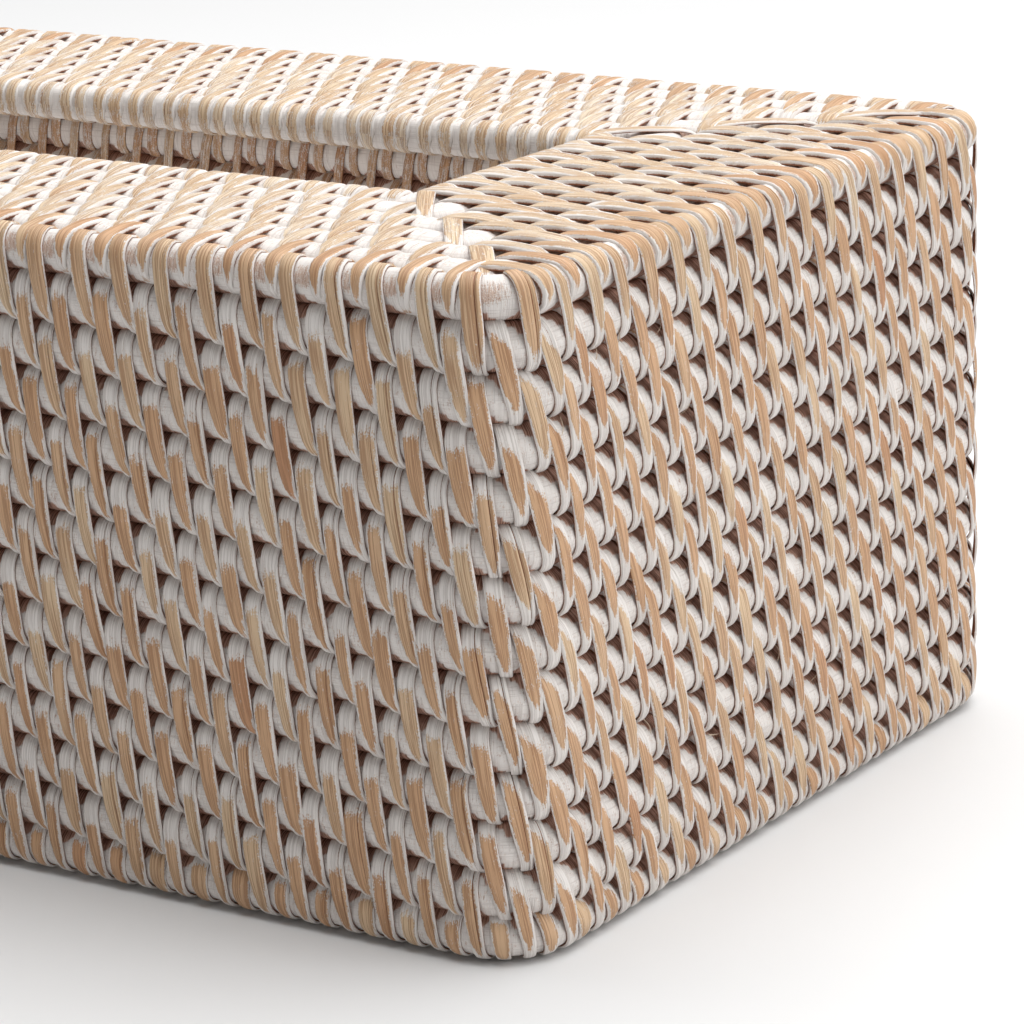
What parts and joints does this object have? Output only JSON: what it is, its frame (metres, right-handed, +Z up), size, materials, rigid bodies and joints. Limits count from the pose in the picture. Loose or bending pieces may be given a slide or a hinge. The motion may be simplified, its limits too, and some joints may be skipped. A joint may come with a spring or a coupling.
{
  "type": "tissue box cover",
  "caption": "Rectangular slip-over tissue box cover of whitewashed rattan: rod courses lashed with split peel, open below, with a long dispensing slot in the top.",
  "frame": {"origin": "middle of the cover's plan, on the surface that it stands on", "axes": "+X along the length, +Y from the front wall to the back wall, +Z up"},
  "size_m": [0.26, 0.148, 0.101],
  "materials": {
    "washed_rod": "matt white wash over rattan core, brushed and worn",
    "peel_strip": "satin rattan peel, white wash left along its edges"
  },
  "bodies": {
    "root": {"foot_rod": "washed_rod", "wall_rod_02": "washed_rod", "wall_rod_03": "washed_rod", "wall_rod_04": "washed_rod", "wall_rod_05": "washed_rod", "wall_rod_06": "washed_rod", "wall_rod_07": "washed_rod", "wall_rod_08": "washed_rod", "wall_rod_09": "washed_rod", "wall_rod_10": "washed_rod", "wall_rod_11": "washed_rod", "wall_rod_12": "washed_rod", "wall_rod_13": "washed_rod", "rim_rod": "washed_rod", "top_rod_1": "washed_rod", "top_rod_2": "washed_rod", "top_rod_3": "washed_rod", "top_rod_4": "washed_rod", "top_rod_5": "washed_rod", "opening_rod": "washed_rod", "wall_lashing_01": "peel_strip", "wall_lashing_02": "peel_strip", "wall_lashing_03": "peel_strip", "wall_lashing_04": "peel_strip", "wall_lashing_05": "peel_strip", "wall_lashing_06": "peel_strip", "wall_lashing_07": "peel_strip", "wall_lashing_08": "peel_strip", "wall_lashing_09": "peel_strip", "wall_lashing_10": "peel_strip", "wall_lashing_11": "peel_strip", "wall_lashing_12": "peel_strip", "wall_lashing_13": "peel_strip", "foot_binding": "peel_strip", "top_lashing_1": "peel_strip", "top_lashing_2": "peel_strip", "top_lashing_3": "peel_strip", "top_lashing_4": "peel_strip", "top_lashing_5": "peel_strip", "top_lashing_6": "peel_strip", "opening_binding": "peel_strip"}
  },
  "joints": []
}
